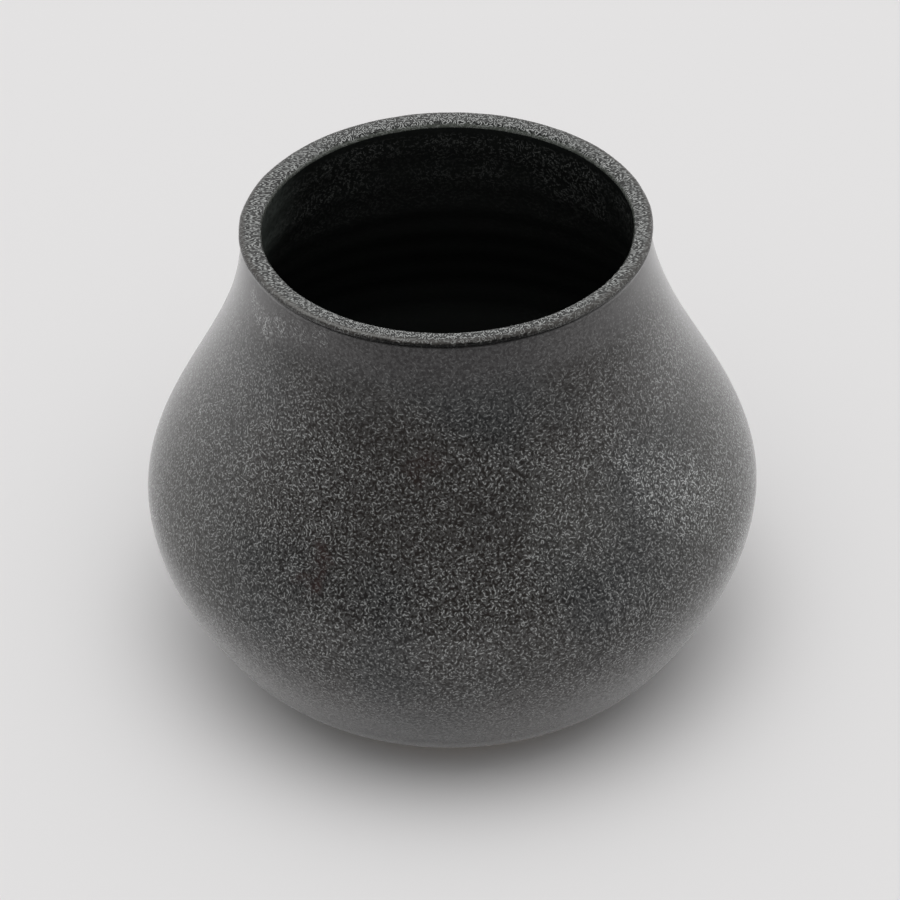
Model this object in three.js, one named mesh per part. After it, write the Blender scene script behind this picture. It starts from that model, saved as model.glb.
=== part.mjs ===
// A round wheel-thrown stoneware vase: a low full belly, shoulders that draw in to a wide neck,
// and a thick lip with a soft flat top that stands a little proud of the neck.
// It stands on a trimmed foot ring with four small felt pads stuck to it.
// Millimetres, +Z up. The origin is on the table, under the middle of the vase.

import * as THREE from "three";

// Outside of the pot, with heights above the table
const HEIGHT = 172.2;
const BELLY_RADIUS = 100;
const BELLY_HEIGHT = 73.2;
const NECK_RADIUS = 63.8;
const NECK_SLOPE = THREE.MathUtils.degToRad(94);
const FLANK_RADIUS = 84.5;
const FLANK_HEIGHT = 30.4;
const FLANK_SLOPE = THREE.MathUtils.degToRad(60.5);
const FOOT_RADIUS = 51;
const FOOT_SLOPE = THREE.MathUtils.degToRad(24);

// How far each curve of the outside holds its direction where it leaves a point
const BELLY_REACH_UP = 23.8;
const NECK_REACH = 43.6;
const BELLY_REACH_DOWN = 18.4;
const FLANK_REACH_UP = 6.6;
const FLANK_REACH_DOWN = 15;
const FOOT_REACH = 8;

// Lip
const LIP_RADIUS = 64.6;
const LIP_WIDTH = 6.6;
const LIP_DEPTH = 1.8;
const LIP_UNDERCUT = 0.3;
const LIP_OUTER_ROUND = 1.3;
const LIP_INNER_ROUND = 1.6;
const LIP_CHAMFER = 4;

// Clay
const WALL = 5.2;
const BASE_THICKNESS = 7.5;
const FLOOR_MARGIN = 15;
const FLOOR_REACH = 20;
const FLOOR_RISE_REACH = 14;

// Foot ring, trimmed out of the base
const FOOT_RING_WIDTH = 11;
const FOOT_RING_HEIGHT = 2.6;
const FOOT_RECESS = 3.2;
const FOOT_EDGE_ROUND = 0.8;
const RECESS_ROUND = 1.5;

// Soft ridges that the potter's fingers leave on the inside
const THROWING_RING_PITCH = 14;
const THROWING_RING_DEPTH = 0.5;

// Felt pads
const PAD_COUNT = 4;
const PAD_THICKNESS = 1.2;
const PAD_INSET = 0.7;

// Fineness of the surfaces
const ROUND_SEGMENTS = 56;
const PAD_SEGMENTS = 24;
const SHOULDER_STEPS = 14;
const CURVE_STEPS = 7;
const EDGE_STEPS = 3;
const STEPS_PER_THROWING_RING = 4;

const FOOT_TOP = PAD_THICKNESS + FOOT_RING_HEIGHT;
const RECESS_TOP = PAD_THICKNESS + FOOT_RECESS;
const FLOOR_TOP = RECESS_TOP + BASE_THICKNESS;
const FLOOR_RADIUS = FOOT_RADIUS - FLOOR_MARGIN;
const LIP_BOTTOM = HEIGHT - LIP_DEPTH;
const MOUTH_RADIUS = LIP_RADIUS - LIP_WIDTH;
const FOOT_INNER_RADIUS = FOOT_RADIUS - FOOT_RING_WIDTH;
const PAD_RADIUS = FOOT_RING_WIDTH / 2 - FOOT_EDGE_ROUND - PAD_INSET;
const PAD_CIRCLE_RADIUS = FOOT_RADIUS - FOOT_RING_WIDTH / 2;

const glaze = new THREE.MeshStandardMaterial({ color: 0x3b3c3d, roughness: 0.45, metalness: 0 });
const felt = new THREE.MeshStandardMaterial({ color: 0x26241f, roughness: 0.95, metalness: 0 });

// Directions in the profile, as angles: outwards is away from the vase's axis
const OUTWARDS = 0;
const UP = Math.PI / 2;
const INWARDS = Math.PI;
const DOWN = -Math.PI / 2;
const QUARTER_TURN = Math.PI / 2;

const at = (radius, height) => new THREE.Vector2(radius, height);
const heading = (slope) => at(Math.cos(slope), Math.sin(slope));

// A curve that leaves one point in one direction and arrives at another in a second direction
function curve(from, fromSlope, fromReach, to, toSlope, toReach) {
  const leaving = from.clone().addScaledVector(heading(fromSlope), fromReach);
  const arriving = to.clone().addScaledVector(heading(toSlope), -toReach);
  return new THREE.CubicBezierCurve(from, leaving, arriving, to);
}

// The points of a rounded edge: a quarter circle about its own centre
function edge(radius, height, round, startDirection, turn) {
  const end = startDirection + turn;
  const arc = new THREE.EllipseCurve(radius, height, round, round, startDirection, end, turn < 0);
  return arc.getPoints(EDGE_STEPS);
}

// The three curves of the outside, from the foot up to the neck
const foot = at(FOOT_RADIUS, FOOT_TOP);
const flank = at(FLANK_RADIUS, FLANK_HEIGHT);
const belly = at(BELLY_RADIUS, BELLY_HEIGHT);
const neck = at(NECK_RADIUS, LIP_BOTTOM);
const undersideCurve = curve(foot, FOOT_SLOPE, FOOT_REACH, flank, FLANK_SLOPE, FLANK_REACH_DOWN);
const lowerCurve = curve(flank, FLANK_SLOPE, FLANK_REACH_UP, belly, UP, BELLY_REACH_DOWN);
const shoulderCurve = curve(belly, UP, BELLY_REACH_UP, neck, NECK_SLOPE, NECK_REACH);

// The inside of the wall along an outer curve, from its top down, with whole throwing rings
function insideOf(outerCurve) {
  const rings = Math.max(1, Math.round(outerCurve.getLength() / THROWING_RING_PITCH));
  const steps = rings * STEPS_PER_THROWING_RING;
  const points = [];
  for (let step = steps; step >= 0; step -= 1) {
    const direction = outerCurve.getTangentAt(step / steps);
    const turn = (2 * Math.PI * step) / STEPS_PER_THROWING_RING;
    const thickness = WALL + (THROWING_RING_DEPTH / 2) * (1 - Math.cos(turn));
    const inward = at(-direction.y, direction.x);
    points.push(outerCurve.getPointAt(step / steps).addScaledVector(inward, thickness));
  }
  return points;
}

function footRingProfile() {
  const outerEdge = FOOT_RADIUS - FOOT_EDGE_ROUND;
  const innerEdge = FOOT_INNER_RADIUS + FOOT_EDGE_ROUND;
  const recessEdge = FOOT_INNER_RADIUS - RECESS_ROUND;
  const edgeHeight = PAD_THICKNESS + FOOT_EDGE_ROUND;
  return [
    at(0, RECESS_TOP),
    ...edge(recessEdge, RECESS_TOP - RECESS_ROUND, RECESS_ROUND, UP, -QUARTER_TURN),
    ...edge(innerEdge, edgeHeight, FOOT_EDGE_ROUND, INWARDS, QUARTER_TURN),
    ...edge(outerEdge, edgeHeight, FOOT_EDGE_ROUND, DOWN, QUARTER_TURN),
  ];
}

function lipProfile() {
  const outerEdge = LIP_RADIUS - LIP_OUTER_ROUND;
  const innerEdge = MOUTH_RADIUS + LIP_INNER_ROUND;
  return [
    at(LIP_RADIUS, LIP_BOTTOM + LIP_UNDERCUT),
    ...edge(outerEdge, HEIGHT - LIP_OUTER_ROUND, LIP_OUTER_ROUND, OUTWARDS, QUARTER_TURN),
    ...edge(innerEdge, HEIGHT - LIP_INNER_ROUND, LIP_INNER_ROUND, UP, QUARTER_TURN),
    at(MOUTH_RADIUS, LIP_BOTTOM),
  ];
}

function insideProfile() {
  const chamferBottom = LIP_BOTTOM - LIP_CHAMFER;
  const shoulder = insideOf(shoulderCurve).filter((point) => point.y < chamferBottom);
  const lower = insideOf(lowerCurve).slice(1);
  const wallFoot = lower.at(-1);
  const floorEdge = at(FLOOR_RADIUS, FLOOR_TOP);
  const rise = curve(floorEdge, OUTWARDS, FLOOR_REACH, wallFoot, FLANK_SLOPE, FLOOR_RISE_REACH);
  return [
    at(NECK_RADIUS - WALL, chamferBottom),
    ...shoulder,
    ...lower,
    ...rise.getPoints(CURVE_STEPS).reverse().slice(1),
    at(0, FLOOR_TOP),
  ];
}

function makeVaseBody() {
  const profile = [
    ...footRingProfile(),
    ...undersideCurve.getPoints(CURVE_STEPS),
    ...lowerCurve.getPoints(CURVE_STEPS).slice(1),
    ...shoulderCurve.getPoints(SHOULDER_STEPS).slice(1),
    ...lipProfile(),
    ...insideProfile(),
  ];
  const geometry = new THREE.LatheGeometry(profile, ROUND_SEGMENTS);
  geometry.rotateX(QUARTER_TURN);
  const body = new THREE.Mesh(geometry, glaze);
  body.name = "vase_body";
  return body;
}

function makeFootPad(index) {
  const geometry = new THREE.CylinderGeometry(PAD_RADIUS, PAD_RADIUS, PAD_THICKNESS, PAD_SEGMENTS);
  geometry.rotateX(QUARTER_TURN);
  const pad = new THREE.Mesh(geometry, felt);
  const angle = (2 * Math.PI * index) / PAD_COUNT;
  pad.position.set(
    PAD_CIRCLE_RADIUS * Math.cos(angle),
    PAD_CIRCLE_RADIUS * Math.sin(angle),
    PAD_THICKNESS / 2,
  );
  pad.name = `foot_pad_${index + 1}`;
  return pad;
}

const vase = new THREE.Group();
vase.add(makeVaseBody());
for (let index = 0; index < PAD_COUNT; index += 1) {
  vase.add(makeFootPad(index));
}

export default vase;
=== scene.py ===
"""The looks of a round thrown stoneware vase with a dark reactive glaze full of pale crystals.

Metres, +Z up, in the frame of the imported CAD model. Sizes that only this script uses are in
millimetres and are turned into metres where they are used.
"""

import math

import bpy
import numpy as np
from mathutils import Matrix, Vector, noise


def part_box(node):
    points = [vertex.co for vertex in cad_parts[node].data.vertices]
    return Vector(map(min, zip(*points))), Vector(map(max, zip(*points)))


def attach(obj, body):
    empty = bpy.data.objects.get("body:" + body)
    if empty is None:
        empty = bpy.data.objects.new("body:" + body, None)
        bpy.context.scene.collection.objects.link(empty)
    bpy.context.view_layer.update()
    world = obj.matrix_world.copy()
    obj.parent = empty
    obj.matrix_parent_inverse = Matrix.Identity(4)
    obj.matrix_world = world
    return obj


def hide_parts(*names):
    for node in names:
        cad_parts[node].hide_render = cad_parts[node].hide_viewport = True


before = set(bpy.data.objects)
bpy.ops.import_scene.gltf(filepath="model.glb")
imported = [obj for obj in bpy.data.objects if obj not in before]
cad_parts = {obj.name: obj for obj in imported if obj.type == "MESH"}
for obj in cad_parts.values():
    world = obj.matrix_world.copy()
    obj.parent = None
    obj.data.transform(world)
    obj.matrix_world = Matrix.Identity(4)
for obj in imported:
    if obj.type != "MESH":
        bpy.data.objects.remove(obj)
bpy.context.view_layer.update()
MM = 0.001
QUARTER_TURN = math.pi / 2

# The vase, as the CAD model has it
BODY_LOW, BODY_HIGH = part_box("vase_body")
HEIGHT = BODY_HIGH.z / MM
BELLY_RADIUS = (BODY_HIGH.x - BODY_LOW.x) / 2 / MM
PAD_THICKNESS = BODY_LOW.z / MM
BELLY_HEIGHT = 73.2
NECK_RADIUS = 63.8
NECK_SLOPE = math.radians(94)
FLANK_RADIUS = 84.5
FLANK_HEIGHT = 30.4
FLANK_SLOPE = math.radians(60.5)
FOOT_RADIUS = 51
FOOT_SLOPE = math.radians(24)
BELLY_REACH_UP = 23.8
NECK_REACH = 43.6
BELLY_REACH_DOWN = 18.4
FLANK_REACH_UP = 6.6
FLANK_REACH_DOWN = 15
FOOT_REACH = 8
LIP_RADIUS = 64.6
LIP_WIDTH = 6.6
LIP_DEPTH = 1.8
LIP_UNDERCUT = 0.3
LIP_OUTER_ROUND = 1.3
LIP_INNER_ROUND = 1.6
LIP_CHAMFER = 4
WALL = 5.2
BASE_THICKNESS = 7.5
FLOOR_MARGIN = 15
FLOOR_REACH = 20
FLOOR_RISE_REACH = 14
FOOT_RING_WIDTH = 11
FOOT_RING_HEIGHT = 2.6
FOOT_RECESS = 3.2
FOOT_EDGE_ROUND = 0.8
RECESS_ROUND = 1.5
THROWING_RING_PITCH = 14
THROWING_RING_DEPTH = 0.5

# The clay is bare up to this height
GLAZE_LINE = 6.5
SURFACES = ("clay", "glaze", "lip", "inside")

# Fineness of the visual mesh
ROUND_SEGMENTS = 384
PAD_SEGMENTS = 96
CURVE_STEP = 1.6
LEAST_CURVE_STEPS = 4
EDGE_STEPS = 8
LONGEST_STEP = 3

# Traces of the hand: the shoulder leans a little to one side, the mouth sits a little off the
# middle of the lip, the pot is a little out of round, and its lip is a little uneven. Each pair
# of heights, or of depths below the top, says where a trace starts and where it is full.
SHOULDER_SWAY = 0.7
SWAY_HEIGHT = 118
SWAY_SPREAD = 45
SWAY_DEPTHS = (4, 30)
OUT_OF_ROUND = 0.25
OUT_OF_ROUND_HEIGHTS = (8, 28)
OUT_OF_ROUND_LUMPS = 1.3
OUT_OF_ROUND_SEED = Vector((7, 3, 1))
LIP_UNEVENNESS = 0.18
LIP_UNEVEN_DEPTHS = (4, 1)
LIP_LUMPS = 5
LIP_FINE_LUMPS = 14
LIP_FINE_PART = 0.5
LIP_SEED = Vector((2, 9, 4))
LUMP_HEIGHT = 60
MOUTH_SHIFT = 0.9
MOUTH_SHIFT_ANGLE = math.radians(-50)
MOUTH_SHIFT_DEPTHS = (18, 3)
MOUTH_SHIFT_RADII = (LIP_RADIUS - 2, LIP_RADIUS - LIP_WIDTH + LIP_INNER_ROUND)

# Felt pads
PAD_EDGE_ROUND = 0.25
PAD_RINGS = (0, 0.4, 0.7)
PAD_FRAY = 0.06
PAD_FRAY_LUMPS = 4
PAD_FRAY_SEED = 90

# The photograph's camera, found from the vase's outline and both edges of its lip
CAMERA_DISTANCE = 888.1
CAMERA_ABOVE_BELLY = 693.4
CAMERA_PITCH = math.radians(37.62)
CAMERA_ROLL = math.radians(1.26)
CAMERA_YAW = math.radians(0.02)
CAMERA_SIGHT = 100000
FOCAL_PIXELS = 3423.2
IMAGE_PIXELS = 900
SENSOR_WIDTH = 36

# Surroundings
FLOOR_RADIUS = 3000
FLOOR_CORNERS = 128
WHITE = (1, 1, 1, 1)
PALE_GREY = (0.772, 0.763, 0.764, 1)
SKY_AROUND = 0.35
SKY_POWER = 12
SKY_TILT = math.radians(20)
DARK_FRONT = 0.97
DARK_FRONT_HEIGHT = math.radians(42)
DARK_FRONT_TURN = math.radians(14)
DARK_FRONT_FULL = math.radians(30)
DARK_FRONT_END = math.radians(90)

# Shader values of each material
OUTSIDE_SHADER = {
    "Roughness": 0.22,
    "Specular IOR Level": 0.4,
    "Sheen Weight": 0.24,
    "Sheen Roughness": 0.3,
    "Coat Roughness": 0.35,
}
LIP_SHADER = {"Roughness": 0.22, "Specular IOR Level": 0.5}
INSIDE_SHADER = {"Roughness": 0.3, "Specular IOR Level": 0.5}
CLAY_SHADER = {"Roughness": 0.85, "Specular IOR Level": 0.25}
FELT_SHADER = {"Roughness": 1.0, "Specular IOR Level": 0.1, "Sheen Weight": 0.3}
PAPER_SHADER = {"Roughness": 0.9, "Specular IOR Level": 0, "Base Color": PALE_GREY}

# Colours
CHARCOAL = (0.012, 0.0122, 0.0126, 1)
BROWN = (0.016, 0.0138, 0.0126, 1)
RUST = (0.021, 0.0128, 0.0115, 1)
# Painted shade: a near-black that stands in for the shade under the lip's overhang
PAINTED_SHADE = (0.004, 0.004, 0.004, 1)
CRYSTAL = (0.42, 0.43, 0.426, 1)
# Painted sheen: a paler glaze colour where the belly turns away at its left and right
PAINTED_SIDE_SHEEN = (0.045, 0.043, 0.04, 1)
NECK_HAZE = (0.025, 0.0232, 0.0238, 1)
# Painted sheen on the left and right of the neck; the neck's middle keeps its own paler grey
PAINTED_NECK_SHEEN = (0.052, 0.0495, 0.0495, 1)
LIP_TOP = (0.0105, 0.0112, 0.0105, 1)
# Painted sheen: the lip's inner edge made a paler grey-green
LIP_INNER_EDGE_SHEEN = (0.07, 0.077, 0.067, 1)
LIP_OUTSIDE = (0.038, 0.0355, 0.0325, 1)
# Painted highlight: a thin pale line along the lip's outer rounded edge
LIP_PAINTED_HIGHLIGHT = (0.3, 0.3, 0.29, 1)
LIP_CRYSTAL = (0.37, 0.38, 0.37, 1)
INSIDE_DARK = (0.0095, 0.0106, 0.01, 1)
# Painted sheen: a pale, mottled patch inside the mouth on its left
INSIDE_PAINTED_SHEEN = (0.15, 0.172, 0.158, 1)
INSIDE_CRYSTAL = (0.14, 0.146, 0.14, 1)
CLAY_DARK = (0.29, 0.23, 0.17, 1)
CLAY_PALE = (0.42, 0.34, 0.26, 1)
IRON_SPOT = (0.08, 0.055, 0.04, 1)
FELT_DARK = (0.012, 0.011, 0.01, 1)
FELT_PALE = (0.05, 0.046, 0.042, 1)

# Fineness of each pattern, as lumps of noise per metre
DRIFT = 16
FINE_DRIFT = 55
BRIGHT_FLECKS = 780
BRIGHT_FLECK_GAPS = 1350
DIM_FLECKS = 640
PITS = 1060
LIP_FLECKS = 1150
LIP_FLECK_GAPS = 900
LIP_SPECKLES = 1100
INSIDE_FLECKS = 1100
INSIDE_FLECK_GAPS = 900
INSIDE_PATCHES = 60
INSIDE_MOTTLES = 800
CLAY_GRAINS = 900
CLAY_SPOTS = 520
FELT_FIBRES = 1500

# Widths of the flecks and depths of the reliefs
BRIGHT_FLECK_WIDTH = 0.4
DIM_FLECK_WIDTH = 0.5
FINE_FLECK_WIDTH = 0.3
OUTSIDE_RELIEF = 0.034
LIP_RELIEF = 0.03
INSIDE_RELIEF = 0.02
CLAY_RELIEF = 0.08
FELT_RELIEF = 0.25

# How flecks are found in a noise: how far to each side it is read again, as a part of a lump,
# the least slope that counts, and how much of a fleck's half width is its soft edge
FLECK_PROBE = 0.1
LEAST_SLOPE = 0.0001
FLECK_SOFTNESS = 0.5

# Ragged edges of patches: lumps of noise per metre, and how far they push
PATCH_WOBBLE = (110, 9)
STREAK_WOBBLE = (260, 1.4)
LIP_WOBBLE = (600, 0.6)

# Where the outside glaze changes, by height and by distance to the side of the middle. Every
# such pair here and below holds the two ends of a soft change.
LOW_HEIGHTS = (20, 80)
NECK_HEIGHTS = (130, 170)
COAT_HEIGHTS = (90, 150)
NECK_HAZE_HEIGHTS = (150, 164)
# Painted shade: the heights at the top of the neck where the shade under the lip is painted
NECK_SHADE_HEIGHTS = (HEIGHT - 3.3, HEIGHT - 2.3)
FEW_GAPS_SIDES = (15, 80)
FULL_SIDES = (45, 80)
FULL_RIGHT = (78, 96)
# Painted sheen: where it is painted on the sides of the belly and of the neck
SHEEN_SIDES = (50, 95)
NECK_SHEEN_SIDES = (12, 45)
COAT_SIDES = (37, 66)

# Where the lip's glaze changes. Its sides are told by the distance to the side as a part of the
# radius. There the pattern is drawn out along x, and elsewhere along y.
LIP_SIDES = (0.55, 0.85)
LIP_SIDES_STRETCH = (0.5, 1, 1)
LIP_FRONT_STRETCH = (1, 0.6, 1)
LIP_OUTSIDE_RADII = (LIP_RADIUS - 2.4, LIP_RADIUS - 1)
LIP_INNER_HEIGHTS = (HEIGHT - 0.9, HEIGHT - 0.3)
# Painted shade: where shade is painted along the lower outside of the lip, fullest in front
LIP_SHADE_HEIGHTS = (HEIGHT - 0.9, HEIGHT - 0.4)
LIP_SHADE_SIDES = (18, 35)
# Painted highlight: the radius of the thin pale line on the lip's outer edge, and its widths
HIGHLIGHT_RADIUS = LIP_RADIUS - 0.75
HIGHLIGHT_WIDTHS = (0.15, 0.5)

# Where the inside glaze changes
INSIDE_HEIGHTS = (110, 166)
INSIDE_BEVEL_HEIGHTS = (HEIGHT - 5, HEIGHT - 3.5)
INSIDE_SIDES = (12, 50)

# Spots of the glazes: angle round the vase in degrees, height, distance from the axis, size and
# strength. Up to a part of its size, a spot is at its full strength.
SPOT_CORE = 0.25
BROWN_SPOTS = ((-117.5, 103, 90, 6, 1), (-117.5, 95, 92, 6, 1), (-97, 133, 75, 8, 0.5))
BRIGHT_SPOTS = (
    (-44, 121, 79, 14, 0.7),
    (-40, 110, 85, 19, 1),
    (-34, 102, 90, 22, 1),
    (-64, 109, 86, 24, 0.2),
)
BRIGHT_DOTS = ((-165, 116, 82, 3, 1),)
BRIGHT_STREAK = (
    (-157, 163, 65, 5, 1),
    (-153, 160, 65, 6, 1),
    (-148, 158, 65, 6, 1),
    (-142, 162, 65, 6, 1),
    (-135, 164, 64, 6, 1),
    (-127, 166, 64, 5, 1),
)
QUIET_SPOTS = (
    (-101, 122, 80, 26, 1),
    (-83, 114, 83, 22, 1),
    (-41, 132, 74, 14, 1),
    (-112, 145, 69, 20, 1),
)
# Painted sheen in one spot on the front right
SHEEN_SPOTS = ((-64, 111, 85, 26, 0.4),)
# Painted highlight: where the line on the lip's outer edge shows, on the front left
HIGHLIGHT_SPOTS = ((-122, 172, 64, 40, 0.35),)
# Painted sheen inside the mouth, on its left
INSIDE_SHEEN_SPOTS = ((178, 154, 60, 42, 1),)


def heading(slope):
    return np.array([math.cos(slope), math.sin(slope)])


def curve(start, start_slope, start_reach, end, end_slope, end_reach):
    """Points (radius, height) of a curve that leaves start and reaches end in given directions,
    and the curve's direction at each of them."""
    a, d = np.array(start, float), np.array(end, float)
    b = a + heading(start_slope) * start_reach
    c = d - heading(end_slope) * end_reach
    steps = max(LEAST_CURVE_STEPS, round(float(np.linalg.norm(d - a)) / CURVE_STEP))
    t = np.linspace(0, 1, steps + 1)[:, None]
    points = (1 - t) ** 3 * a + 3 * (1 - t) ** 2 * t * b + 3 * (1 - t) * t**2 * c + t**3 * d
    ways = (1 - t) ** 2 * (b - a) + 2 * (1 - t) * t * (c - b) + t**2 * (d - c)
    return points, ways / np.linalg.norm(ways, axis=1, keepdims=True)


def edge(radius, height, size, start, turn):
    """Points of a rounded edge: a quarter circle about its own centre."""
    angles = start + np.linspace(0, turn, EDGE_STEPS + 1)
    return np.c_[radius + size * np.cos(angles), height + size * np.sin(angles)]


def inside_of(points, ways):
    """The inside of the wall along an outer curve, with soft throwing ridges, from its top down."""
    lengths = np.r_[0, np.cumsum(np.linalg.norm(np.diff(points, axis=0), axis=1))]
    rings = max(1, round(lengths[-1] / THROWING_RING_PITCH))
    turns = 2 * math.pi * rings * lengths / lengths[-1]
    thickness = WALL + THROWING_RING_DEPTH / 2 * (1 - np.cos(turns))
    inward = np.c_[-ways[:, 1], ways[:, 0]]
    return (points + inward * thickness[:, None])[::-1]


def foot_profile():
    """The underside, from the axis out to the outer edge of the foot ring."""
    recess_top = PAD_THICKNESS + FOOT_RECESS
    ring_inside = FOOT_RADIUS - FOOT_RING_WIDTH
    round_height = PAD_THICKNESS + FOOT_EDGE_ROUND
    recess_edge = (ring_inside - RECESS_ROUND, recess_top - RECESS_ROUND)
    inner_edge = (ring_inside + FOOT_EDGE_ROUND, round_height)
    outer_edge = (FOOT_RADIUS - FOOT_EDGE_ROUND, round_height)
    return np.vstack(
        [
            [[0, recess_top]],
            edge(*recess_edge, RECESS_ROUND, QUARTER_TURN, -QUARTER_TURN),
            edge(*inner_edge, FOOT_EDGE_ROUND, math.pi, QUARTER_TURN),
            edge(*outer_edge, FOOT_EDGE_ROUND, -QUARTER_TURN, QUARTER_TURN),
        ]
    )


def lip_profile():
    """The lip, from its undercut outside over its top to the mouth."""
    bottom = HEIGHT - LIP_DEPTH
    mouth = LIP_RADIUS - LIP_WIDTH
    outer_edge = (LIP_RADIUS - LIP_OUTER_ROUND, HEIGHT - LIP_OUTER_ROUND)
    inner_edge = (mouth + LIP_INNER_ROUND, HEIGHT - LIP_INNER_ROUND)
    return np.vstack(
        [
            [[LIP_RADIUS, bottom + LIP_UNDERCUT]],
            edge(*outer_edge, LIP_OUTER_ROUND, 0, QUARTER_TURN),
            edge(*inner_edge, LIP_INNER_ROUND, QUARTER_TURN, QUARTER_TURN),
            [[mouth, bottom]],
        ]
    )


def vase_profile():
    """The outline of the clay as (radius, height), from the axis round to the axis: a list of
    (surface, points), where each stretch goes on from the last point of the one before."""
    foot = (FOOT_RADIUS, PAD_THICKNESS + FOOT_RING_HEIGHT)
    flank = (FLANK_RADIUS, FLANK_HEIGHT)
    belly = (BELLY_RADIUS, BELLY_HEIGHT)
    neck = (NECK_RADIUS, HEIGHT - LIP_DEPTH)
    under, _ = curve(foot, FOOT_SLOPE, FOOT_REACH, flank, FLANK_SLOPE, FLANK_REACH_DOWN)
    lower, lower_ways = curve(
        flank, FLANK_SLOPE, FLANK_REACH_UP, belly, QUARTER_TURN, BELLY_REACH_DOWN
    )
    upper, upper_ways = curve(belly, QUARTER_TURN, BELLY_REACH_UP, neck, NECK_SLOPE, NECK_REACH)
    bare = under[:, 1] <= GLAZE_LINE
    chamfer_bottom = HEIGHT - LIP_DEPTH - LIP_CHAMFER
    upper_inside = inside_of(upper, upper_ways)
    lower_inside = inside_of(lower, lower_ways)
    floor_top = PAD_THICKNESS + FOOT_RECESS + BASE_THICKNESS
    floor_edge = (FOOT_RADIUS - FLOOR_MARGIN, floor_top)
    rise, _ = curve(floor_edge, 0, FLOOR_REACH, lower_inside[-1], FLANK_SLOPE, FLOOR_RISE_REACH)
    inside = [
        [[NECK_RADIUS - WALL, chamfer_bottom]],
        upper_inside[upper_inside[:, 1] < chamfer_bottom],
        lower_inside[1:],
        rise[::-1][1:],
        [[0, floor_top]],
    ]
    return [
        ("clay", np.vstack([foot_profile(), under[bare]])),
        ("glaze", np.vstack([under[~bare], lower[1:], upper[1:]])),
        ("lip", lip_profile()),
        ("inside", np.vstack(inside)),
    ]


def refine(stretches):
    """One profile of all stretches, with long straight steps cut into shorter ones, and the
    number of the surface that each step belongs to."""
    points, surfaces = [stretches[0][1][0]], []
    for surface, stretch in stretches:
        for end in stretch:
            start = points[-1]
            length = float(np.linalg.norm(end - start))
            if length == 0:
                continue
            pieces = math.ceil(length / LONGEST_STEP)
            points += [start + (end - start) * k / pieces for k in range(1, pieces + 1)]
            surfaces += [SURFACES.index(surface)] * pieces
    return np.array(points), surfaces


def revolve(name, profile, surfaces, offset, segments):
    """A closed mesh turned from a profile in millimetres that starts and ends on the axis.

    offset(radius, height, angle) gives how far a point moves along x and y, in millimetres."""
    vertices = [Vector((0, 0, profile[0][1])) * MM]
    for radius, height in profile[1:-1]:
        for k in range(segments):
            angle = 2 * math.pi * k / segments
            x, y = radius * math.cos(angle), radius * math.sin(angle)
            dx, dy = offset(radius, height, angle)
            vertices.append(Vector((x + dx, y + dy, height)) * MM)
    vertices.append(Vector((0, 0, profile[-1][1])) * MM)
    faces, numbers = [], []
    last = len(vertices) - 1
    rings = len(profile) - 2
    for k in range(segments):
        after = (k + 1) % segments
        faces.append((0, 1 + after, 1 + k))
        numbers.append(surfaces[0])
        for ring in range(rings - 1):
            low = 1 + ring * segments
            high = low + segments
            faces.append((low + k, low + after, high + after, high + k))
            numbers.append(surfaces[ring + 1])
        top = 1 + (rings - 1) * segments
        faces.append((top + k, top + after, last))
        numbers.append(surfaces[-1])
    mesh = bpy.data.meshes.new(name)
    mesh.from_pydata(vertices, [], faces)
    mesh.polygons.foreach_set("material_index", numbers)
    mesh.shade_smooth()
    made = bpy.data.objects.new(name, mesh)
    bpy.context.scene.collection.objects.link(made)
    return made


def share(value, start, end):
    """How far value is on the way from start to end, from 0 to 1, with soft ends."""
    t = min(1, max(0, (value - start) / (end - start)))
    return t * t * (3 - 2 * t)


def hand_made(radius, height, angle):
    """How far the potter's hand left a point of the pot from a true round, as (x, y)."""
    depth = HEIGHT - height
    around = Vector((math.cos(angle), math.sin(angle), height / LUMP_HEIGHT))
    above_foot = share(height, *OUT_OF_ROUND_HEIGHTS)
    round_lumps = noise.noise(around * OUT_OF_ROUND_LUMPS + OUT_OF_ROUND_SEED)
    lip_lumps = noise.noise(around * LIP_LUMPS + LIP_SEED)
    lip_lumps += LIP_FINE_PART * noise.noise(around * LIP_FINE_LUMPS)
    out = OUT_OF_ROUND * above_foot * round_lumps
    out += LIP_UNEVENNESS * share(depth, *LIP_UNEVEN_DEPTHS) * lip_lumps
    sway = SHOULDER_SWAY * math.exp(-(((height - SWAY_HEIGHT) / SWAY_SPREAD) ** 2))
    sway *= above_foot * share(depth, *SWAY_DEPTHS)
    mouth = MOUTH_SHIFT * share(depth, *MOUTH_SHIFT_DEPTHS) * share(radius, *MOUTH_SHIFT_RADII)
    dx = out * math.cos(angle) + sway + mouth * math.cos(MOUTH_SHIFT_ANGLE)
    dy = out * math.sin(angle) + mouth * math.sin(MOUTH_SHIFT_ANGLE)
    return dx, dy


# Nodes


def add(tree, kind, inputs, **settings):
    """A new node. Each input is a value to set, or another node's output to link."""
    node = tree.nodes.new("ShaderNode" + kind)
    for name, value in settings.items():
        setattr(node, name, value)
    for socket, value in inputs.items():
        if isinstance(value, bpy.types.NodeSocket):
            tree.links.new(value, node.inputs[socket])
        else:
            node.inputs[socket].default_value = value
    return node


def sums(tree, operation, *values):
    """One step of arithmetic with numbers."""
    return add(tree, "Math", dict(enumerate(values)), operation=operation).outputs[0]


def vectors(tree, operation, *values):
    """One step of arithmetic with vectors, which gives a vector or, for some steps, a number."""
    node = add(tree, "VectorMath", dict(enumerate(values)), operation=operation)
    gives_number = operation in ("LENGTH", "DISTANCE", "DOT_PRODUCT")
    return node.outputs["Value" if gives_number else "Vector"]


def times(tree, *values):
    result = values[0]
    for value in values[1:]:
        result = sums(tree, "MULTIPLY", result, value)
    return result


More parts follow.
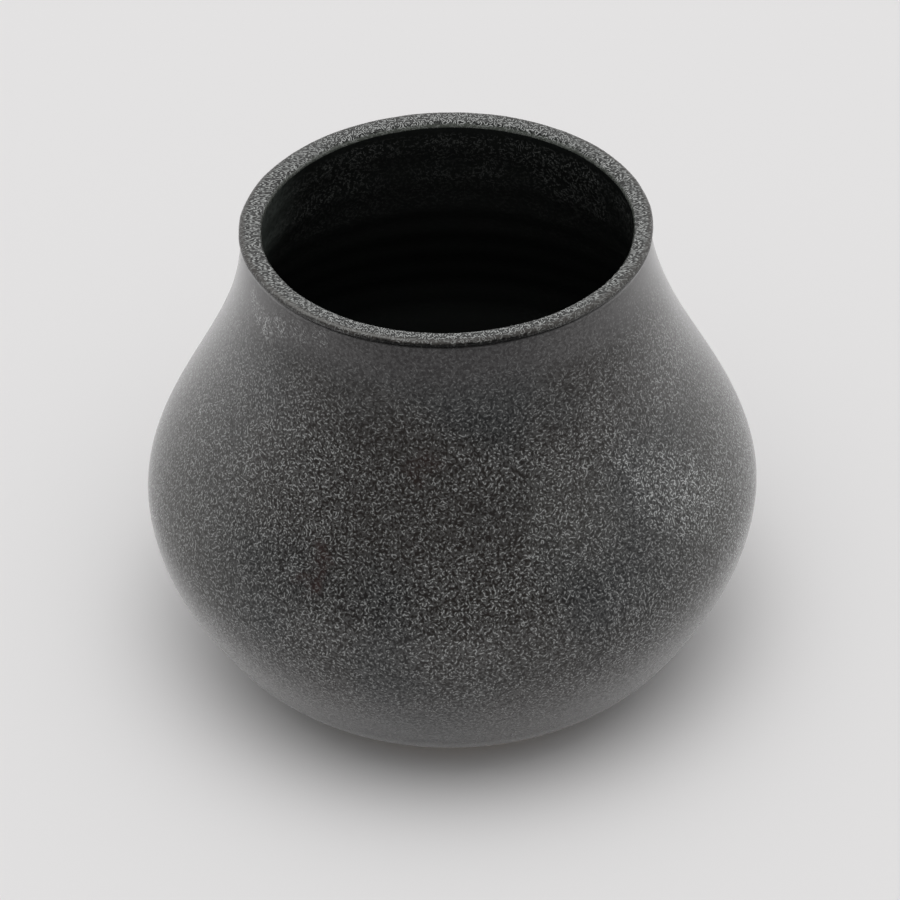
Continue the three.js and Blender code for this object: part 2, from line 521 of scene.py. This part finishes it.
def most(tree, *values):
    """The largest of several values."""
    result = values[0]
    for value in values[1:]:
        result = sums(tree, "MAXIMUM", result, value)
    return result


def soft_step(tree, value, low, high, at_low=0.0, at_high=1.0):
    """at_low below low, at_high above high and a soft change between them."""
    ends = {"From Min": low, "From Max": high, "To Min": at_low, "To Max": at_high}
    inputs = {"Value": value, **ends}
    return add(tree, "MapRange", inputs, interpolation_type="SMOOTHSTEP").outputs["Result"]


def soft_step_mm(tree, length, low, high, at_low=0.0, at_high=1.0):
    """The same for a length, with low and high in millimetres."""
    return soft_step(tree, length, low * MM, high * MM, at_low, at_high)


def by_amount(tree, amount, at_none, at_full):
    """at_none where an amount is 0, at_full where it is 1 and a soft change between them."""
    return soft_step(tree, amount, 0, 1, at_none, at_full)


def blend(tree, amount, low, high):
    """A mix of two colours, each a value or another node's output."""
    return add(tree, "Mix", {0: amount, 6: low, 7: high}, data_type="RGBA").outputs[2]


def cloud(tree, place, scale, detail=0.0, distortion=0.0):
    """Noise from 0 to 1 whose lumps are about 1 / scale metres wide."""
    inputs = {"Vector": place, "Scale": scale, "Detail": detail, "Distortion": distortion}
    return add(tree, "TexNoise", inputs).outputs["Fac"]


def strokes(tree, place, scale, width):
    """Fine curly lines of an even width in millimetres: where a noise passes through its middle.

    The noise is read again a little to each side, so that its slope along the surface says how
    far away the line is."""
    step = FLECK_PROBE / scale
    here = cloud(tree, place, scale)
    slopes = []
    for way in ((step, 0, 0), (0, step, 0), (0, 0, step)):
        beside = cloud(tree, vectors(tree, "ADD", place, way), scale)
        slopes.append(sums(tree, "SUBTRACT", beside, here))
    slope = add(tree, "CombineXYZ", dict(zip("XYZ", slopes))).outputs[0]
    normal = add(tree, "TexCoord", {}).outputs["Normal"]
    out = vectors(tree, "PROJECT", slope, normal)
    steepness = vectors(tree, "LENGTH", vectors(tree, "SUBTRACT", slope, out))
    off = sums(tree, "ABSOLUTE", sums(tree, "SUBTRACT", here, 0.5))
    away = sums(tree, "DIVIDE", off, sums(tree, "MAXIMUM", steepness, LEAST_SLOPE))
    half = width / 2 * MM / step
    full, none = half * (1 - FLECK_SOFTNESS), half * (1 + FLECK_SOFTNESS)
    return soft_step(tree, away, full, none, at_low=1.0, at_high=0.0)


def wobble(tree, place, scale, size):
    """Places pushed about by up to size millimetres, so that what is laid out on them is ragged."""
    pushes = add(tree, "TexNoise", {"Vector": place, "Scale": scale, "Detail": 2.0})
    push = vectors(tree, "SUBTRACT", pushes.outputs["Color"], (0.5, 0.5, 0.5))
    reach = 2 * size * MM
    return vectors(tree, "MULTIPLY_ADD", push, (reach, reach, reach), place)


def spot(tree, place, angle, height, radius, size, strength):
    """A spot of the surface: strength at its middle, and 0 from size away."""
    turn = math.radians(angle)
    middle = (radius * math.cos(turn) * MM, radius * math.sin(turn) * MM, height * MM)
    away = vectors(tree, "DISTANCE", place, middle)
    return soft_step_mm(tree, away, size * SPOT_CORE, size, at_low=strength, at_high=0.0)


def spots(tree, place, table):
    """The strongest, at each point, of several spots."""
    return most(tree, *(spot(tree, place, *row) for row in table))


def new_material(name, values):
    """A material and its shader, with the given values set on it."""
    material = bpy.data.materials.new(name)
    material.use_nodes = True
    shader = material.node_tree.nodes["Principled BSDF"]
    for socket, value in values.items():
        shader.inputs[socket].default_value = value
    return material, material.node_tree, shader


def places(tree):
    """Where a material's points are, in metres in the vase's frame."""
    return add(tree, "TexCoord", {}).outputs["Object"]


def parts_of(tree, place):
    """The x of places, their distance to the side of the middle, and their height."""
    parts = add(tree, "SeparateXYZ", {"Vector": place}).outputs
    return parts["X"], sums(tree, "ABSOLUTE", parts["X"]), parts["Z"]


def from_axis(tree, place):
    """How far places are from the vase's axis."""
    return vectors(tree, "LENGTH", vectors(tree, "MULTIPLY", place, (1, 1, 0)))


def relief(tree, shader, height, depth):
    """Bump whose full range is depth, in millimetres."""
    bump = add(tree, "Bump", {"Height": height, "Strength": 1.0, "Distance": depth * MM})
    tree.links.new(bump.outputs["Normal"], shader.inputs["Normal"])


# Materials


def outside_flecks(tree, place, sideways, pits):
    """The crystals where the glaze is full of them: bright lines, dim lines and pale pits."""
    fewer_gaps = soft_step_mm(tree, sideways, *FEW_GAPS_SIDES, at_low=-0.015, at_high=0.06)
    gaps = sums(tree, "ADD", cloud(tree, place, BRIGHT_FLECK_GAPS), fewer_gaps)
    gaps = soft_step(tree, gaps, 0.42, 0.56, at_low=0.05)
    bright = strokes(tree, place, BRIGHT_FLECKS, BRIGHT_FLECK_WIDTH)
    bright = times(tree, bright, gaps, by_amount(tree, pits, 0.3, 1.0))
    dim = times(tree, strokes(tree, place, DIM_FLECKS, DIM_FLECK_WIDTH), pits, 0.25)
    return most(tree, bright, dim, times(tree, pits, 0.12))


def outside_fullness(tree, place, drift):
    """How full of crystals the glaze is, by height, by side and by its drifting thickness."""
    x, sideways, height = parts_of(tree, place)
    return times(
        tree,
        soft_step_mm(tree, height, *LOW_HEIGHTS, at_low=0.2),
        soft_step_mm(tree, height, *NECK_HEIGHTS, at_low=1.0, at_high=0.18),
        soft_step(tree, drift, 0.35, 0.62, at_low=0.75),
        soft_step(tree, cloud(tree, place, FINE_DRIFT, detail=2), 0.32, 0.6, at_low=0.8),
        soft_step_mm(tree, sideways, *FULL_SIDES, at_low=1.0, at_high=1.15),
        soft_step_mm(tree, x, *FULL_RIGHT, at_low=1.0, at_high=1.9),
    )


def outside_accents(tree, place, ragged):
    """How much the crystals are brighter or quieter in the patches that stand out."""
    bright = most(tree, spots(tree, ragged, BRIGHT_SPOTS), spots(tree, place, BRIGHT_DOTS))
    streak = spots(tree, wobble(tree, place, *STREAK_WOBBLE), BRIGHT_STREAK)
    return times(
        tree,
        by_amount(tree, bright, 0.56, 1.05),
        by_amount(tree, streak, 1.0, 4.5),
        by_amount(tree, spots(tree, ragged, QUIET_SPOTS), 1.0, 0.75),
    )


def outside_base(tree, ragged, drift, sideways, height):
    """The glaze between its crystals, with painted sheen at the sides and in one spot on the front
    right, and a paler grey neck with painted sheen at its sides.
    """
    base = blend(tree, soft_step(tree, drift, 0.4, 0.6), CHARCOAL, BROWN)
    # Painted sheen at the left and right sides and in one spot on the front right
    at_sides = soft_step_mm(tree, sideways, *SHEEN_SIDES)
    base = blend(tree, most(tree, at_sides, spots(tree, ragged, SHEEN_SPOTS)), base, PAINTED_SIDE_SHEEN)
    # On the neck, a paler grey in the middle and painted sheen at the sides
    neck_sides = soft_step_mm(tree, sideways, *NECK_SHEEN_SIDES)
    neck_grey_and_sheen = blend(tree, neck_sides, NECK_HAZE, PAINTED_NECK_SHEEN)
    return blend(tree, soft_step_mm(tree, height, *NECK_HAZE_HEIGHTS), base, neck_grey_and_sheen)


def make_outside():
    """A dark glaze full of fine pale crystals, with brown patches and painted shade under the lip.
    """
    material, tree, shader = new_material("crystal_glaze", OUTSIDE_SHADER)
    place = places(tree)
    _, sideways, height = parts_of(tree, place)
    ragged = wobble(tree, place, *PATCH_WOBBLE)
    drift = cloud(tree, place, DRIFT, detail=2)
    pits = soft_step(tree, cloud(tree, place, PITS), 0.34, 0.6)
    brown = spots(tree, ragged, BROWN_SPOTS)
    # Painted shade under the lip: darker glaze, fewer crystals and less gloss at the top of the
    # neck
    lip_shade = soft_step_mm(tree, height, *NECK_SHADE_HEIGHTS, at_high=0.9)
    crystals = times(
        tree,
        outside_flecks(tree, place, sideways, pits),
        outside_fullness(tree, place, drift),
        outside_accents(tree, place, ragged),
        by_amount(tree, brown, 1.0, 0.5),
        soft_step(tree, lip_shade, 0, 0.5, at_low=1.0, at_high=0.0),
    )
    base = outside_base(tree, ragged, drift, sideways, height)
    base = blend(tree, lip_shade, base, PAINTED_SHADE)
    base = blend(tree, brown, base, RUST)
    tree.links.new(blend(tree, crystals, base, CRYSTAL), shader.inputs["Base Color"])
    # Less gloss where the shade is painted, so that it stays dark
    gloss_in_shade = soft_step(tree, lip_shade, 0, 0.9, at_low=1.0, at_high=0.1)
    gloss = times(tree, by_amount(tree, pits, 0.26, 0.48), gloss_in_shade)
    tree.links.new(gloss, shader.inputs["Specular IOR Level"])
    coat = soft_step_mm(tree, sideways, *COAT_SIDES, at_low=0.02, at_high=0.65)
    coat = times(tree, soft_step_mm(tree, height, *COAT_HEIGHTS), coat)
    tree.links.new(coat, shader.inputs["Coat Weight"])
    relief(tree, shader, crystals, OUTSIDE_RELIEF)
    return material


def lip_flecks(tree, place, at_sides):
    """Flecks that are drawn out across the lip."""
    elsewhere = sums(tree, "SUBTRACT", 1.0, at_sides)
    drawn_out = []
    for stretch, amount in ((LIP_SIDES_STRETCH, at_sides), (LIP_FRONT_STRETCH, elsewhere)):
        stretched = vectors(tree, "MULTIPLY", place, stretch)
        flecks = strokes(tree, stretched, LIP_FLECKS, FINE_FLECK_WIDTH)
        drawn_out.append(times(tree, flecks, amount))
    return sums(tree, "ADD", *drawn_out)


def make_lip():
    """The same glaze on the lip, brown-grey on its outside, with painted sheen on its inner edge, a
    painted highlight along its outer edge and painted shade along the foot of its outside.
    """
    material, tree, shader = new_material("lip_glaze", LIP_SHADER)
    place = places(tree)
    _, sideways, _ = parts_of(tree, place)
    ragged = wobble(tree, place, *LIP_WOBBLE)
    _, _, height = parts_of(tree, ragged)
    radius = from_axis(tree, ragged)
    at_sides = soft_step(tree, sums(tree, "DIVIDE", sideways, radius), *LIP_SIDES)
    outside = soft_step_mm(tree, radius, *LIP_OUTSIDE_RADII)
    low = soft_step_mm(tree, height, *LIP_INNER_HEIGHTS, at_low=1.0, at_high=0.0)
    inner_edge = sums(tree, "MAXIMUM", sums(tree, "SUBTRACT", low, outside), 0.0)
    crystals = times(
        tree,
        lip_flecks(tree, place, at_sides),
        soft_step(tree, cloud(tree, place, LIP_FLECK_GAPS), 0.34, 0.58, at_low=0.1, at_high=0.95),
        by_amount(tree, most(tree, outside, inner_edge), 1.0, 0.4),
    )
    # Painted sheen on the inner edge of the lip
    base = blend(tree, inner_edge, LIP_TOP, LIP_INNER_EDGE_SHEEN)
    base = blend(tree, outside, base, LIP_OUTSIDE)
    colour = blend(tree, crystals, base, LIP_CRYSTAL)
    # A painted highlight: a thin pale line along the outer rounded edge of the lip, on its front
    # left
    off_edge = sums(tree, "SUBTRACT", from_axis(tree, place), HIGHLIGHT_RADIUS * MM)
    off_edge = sums(tree, "ABSOLUTE", off_edge)
    painted_highlight = soft_step_mm(tree, off_edge, *HIGHLIGHT_WIDTHS, at_low=1.0, at_high=0.0)
    painted_highlight = times(tree, painted_highlight, spots(tree, place, HIGHLIGHT_SPOTS))
    colour = blend(tree, painted_highlight, colour, LIP_PAINTED_HIGHLIGHT)
    # Painted shade along the lower outside of the lip
    lip_shade = times(
        tree,
        soft_step_mm(tree, height, *LIP_SHADE_HEIGHTS, at_low=0.97, at_high=0.0),
        outside,
        soft_step(tree, cloud(tree, place, LIP_SPECKLES), 0.52, 0.64, at_low=1.0, at_high=0.8),
        soft_step_mm(tree, sideways, *LIP_SHADE_SIDES, at_low=1.0, at_high=0.5),
    )
    tree.links.new(blend(tree, lip_shade, colour, PAINTED_SHADE), shader.inputs["Base Color"])
    # Duller gloss where the shade on the lip is painted
    tree.links.new(by_amount(tree, lip_shade, 0.5, 0.1), shader.inputs["Specular IOR Level"])
    relief(tree, shader, crystals, LIP_RELIEF)
    return material


def make_inside():
    """A dark glaze with dim crystals that thin out downwards, and painted sheen on one side of the
    mouth.
    """
    material, tree, shader = new_material("inside_glaze", INSIDE_SHADER)
    place = places(tree)
    _, sideways, height = parts_of(tree, place)
    crystals = times(
        tree,
        strokes(tree, place, INSIDE_FLECKS, FINE_FLECK_WIDTH),
        soft_step(tree, cloud(tree, place, INSIDE_FLECK_GAPS), 0.44, 0.6),
        soft_step_mm(tree, height, *INSIDE_HEIGHTS, at_low=0.1),
        soft_step_mm(tree, height, *INSIDE_BEVEL_HEIGHTS, at_low=1.0, at_high=0.1),
        soft_step(tree, cloud(tree, place, INSIDE_PATCHES, detail=2), 0.36, 0.6, at_low=0.35),
        soft_step_mm(tree, sideways, *INSIDE_SIDES, at_low=0.45),
    )
    mottles = soft_step(tree, cloud(tree, place, INSIDE_MOTTLES, detail=1), 0.36, 0.62, at_low=0.3)
    # Painted sheen, mottled, on the inside of the mouth's left
    painted_sheen = times(tree, spots(tree, place, INSIDE_SHEEN_SPOTS), mottles)
    base = blend(tree, painted_sheen, INSIDE_DARK, INSIDE_PAINTED_SHEEN)
    tree.links.new(blend(tree, crystals, base, INSIDE_CRYSTAL), shader.inputs["Base Color"])
    relief(tree, shader, crystals, INSIDE_RELIEF)
    return material


def make_clay():
    material, tree, shader = new_material("bare_clay", CLAY_SHADER)
    place = places(tree)
    grains = cloud(tree, place, CLAY_GRAINS, detail=3)
    iron = soft_step(tree, cloud(tree, place, CLAY_SPOTS, detail=1), 0.62, 0.7)
    colour = blend(tree, iron, blend(tree, grains, CLAY_DARK, CLAY_PALE), IRON_SPOT)
    tree.links.new(colour, shader.inputs["Base Color"])
    relief(tree, shader, grains, CLAY_RELIEF)
    return material


def make_felt():
    material, tree, shader = new_material("felt", FELT_SHADER)
    fibres = cloud(tree, places(tree), FELT_FIBRES, detail=4, distortion=1.5)
    tree.links.new(blend(tree, fibres, FELT_DARK, FELT_PALE), shader.inputs["Base Color"])
    relief(tree, shader, fibres, FELT_RELIEF)
    return material


# Pieces


def make_body():
    profile, surfaces = refine(vase_profile())
    body = revolve("glazed_body", profile, surfaces, hand_made, ROUND_SEGMENTS)
    for material in (make_clay(), make_outside(), make_lip(), make_inside()):
        body.data.materials.append(material)
    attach(body, "root")
    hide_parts("vase_body")


def pad_profile(radius, thickness):
    """A disc with a rounded rim, from the middle of its underside to the middle of its top."""
    rim = radius - PAD_EDGE_ROUND
    return np.vstack(
        [
            [[radius * part, 0] for part in PAD_RINGS],
            edge(rim, PAD_EDGE_ROUND, PAD_EDGE_ROUND, -QUARTER_TURN, QUARTER_TURN),
            edge(rim, thickness - PAD_EDGE_ROUND, PAD_EDGE_ROUND, 0, QUARTER_TURN),
            [[0, thickness]],
        ]
    )


def frayed(radius, seed):
    """The offset for revolve that frays the rim of a disc."""

    def offset(ring_radius, height, angle):
        around = Vector((math.cos(angle), math.sin(angle), height))
        out = PAD_FRAY * (noise.noise(around * PAD_FRAY_LUMPS + seed) - 1)
        out *= share(ring_radius, radius * PAD_RINGS[-1], radius)
        return out * math.cos(angle), out * math.sin(angle)

    return offset


def make_pads():
    """Felt discs with soft, slightly frayed rims."""
    material = make_felt()
    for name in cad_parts:
        if not name.startswith("foot_pad"):
            continue
        low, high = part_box(name)
        middle, half = (low + high) / 2, (high - low) / 2 / MM
        profile = pad_profile(half.x, 2 * half.z)
        offset = frayed(half.x, middle * PAD_FRAY_SEED)
        pad = revolve(f"felt_{name}", profile, [0] * len(profile), offset, PAD_SEGMENTS)
        pad.location = (middle.x, middle.y, low.z)
        pad.data.materials.append(material)
        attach(pad, "root")
        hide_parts(name)


# Camera, floor and light


def make_camera():
    data = bpy.data.cameras.new("photo_camera")
    data.sensor_width = SENSOR_WIDTH
    data.lens = FOCAL_PIXELS / IMAGE_PIXELS * SENSOR_WIDTH
    data.clip_end = CAMERA_SIGHT * MM
    camera = bpy.data.objects.new("photo_camera", data)
    turn = Matrix.Rotation(CAMERA_YAW, 4, "Z")
    tilt = Matrix.Rotation(QUARTER_TURN - CAMERA_PITCH, 4, "X")
    roll = Matrix.Rotation(-CAMERA_ROLL, 4, "Z")
    place = Vector((0, -CAMERA_DISTANCE, CAMERA_ABOVE_BELLY + BELLY_HEIGHT)) * MM
    camera.matrix_world = Matrix.Translation(place) @ turn @ tilt @ roll
    bpy.context.scene.collection.objects.link(camera)
    bpy.context.scene.camera = camera


def make_floor():
    bpy.ops.mesh.primitive_circle_add(
        vertices=FLOOR_CORNERS, radius=FLOOR_RADIUS * MM, fill_type="NGON"
    )
    floor = bpy.context.object
    floor.name = "pale_floor"
    material, _, _ = new_material("floor_paper", PAPER_SHADER)
    floor.data.materials.append(material)


def sky_strength(tree, way):
    """A sky that is brightest above and a little in front, and lights the floor as an even sky
    of strength 1 would."""
    brightest = (0, -math.sin(SKY_TILT), math.cos(SKY_TILT))
    towards = sums(tree, "MAXIMUM", vectors(tree, "DOT_PRODUCT", way, brightest), 0.0)
    peak = (1 - SKY_AROUND) * (SKY_POWER + 2) / (2 * math.cos(SKY_TILT))
    return sums(tree, "MULTIPLY_ADD", sums(tree, "POWER", towards, SKY_POWER), peak, SKY_AROUND)


def gloss_strength(tree, way):
    """The room as the gloss of the glaze shows it: darker in front."""
    level = math.cos(DARK_FRONT_HEIGHT)
    darkest = (
        -level * math.sin(DARK_FRONT_TURN),
        -level * math.cos(DARK_FRONT_TURN),
        math.sin(DARK_FRONT_HEIGHT),
    )
    facing = vectors(tree, "DOT_PRODUCT", way, darkest)
    end, full = math.cos(DARK_FRONT_END), math.cos(DARK_FRONT_FULL)
    return soft_step(tree, facing, end, full, at_low=1.0, at_high=1 - DARK_FRONT)


def make_light():
    """A soft sky, which the camera sees as a plain pale grey and the gloss as a room."""
    world = bpy.data.worlds.new("soft_sky")
    world.use_nodes = True
    tree = world.node_tree
    way = add(tree, "TexCoord", {}).outputs["Generated"]
    sky = tree.nodes["Background"]
    sky.inputs["Color"].default_value = WHITE
    tree.links.new(sky_strength(tree, way), sky.inputs["Strength"])
    room = {"Color": PALE_GREY, "Strength": gloss_strength(tree, way)}
    rays = add(tree, "LightPath", {}).outputs
    shown = sky.outputs[0]
    for ray, background in (("Is Glossy Ray", room), ("Is Camera Ray", {"Color": PALE_GREY})):
        own = add(tree, "Background", background).outputs[0]
        shown = add(tree, "MixShader", {0: rays[ray], 1: shown, 2: own}).outputs[0]
    tree.links.new(shown, tree.nodes["World Output"].inputs["Surface"])
    bpy.context.scene.world = world


make_camera()
make_light()
make_floor()
make_body()
make_pads()

bpy.context.scene.view_settings.view_transform = "Standard"
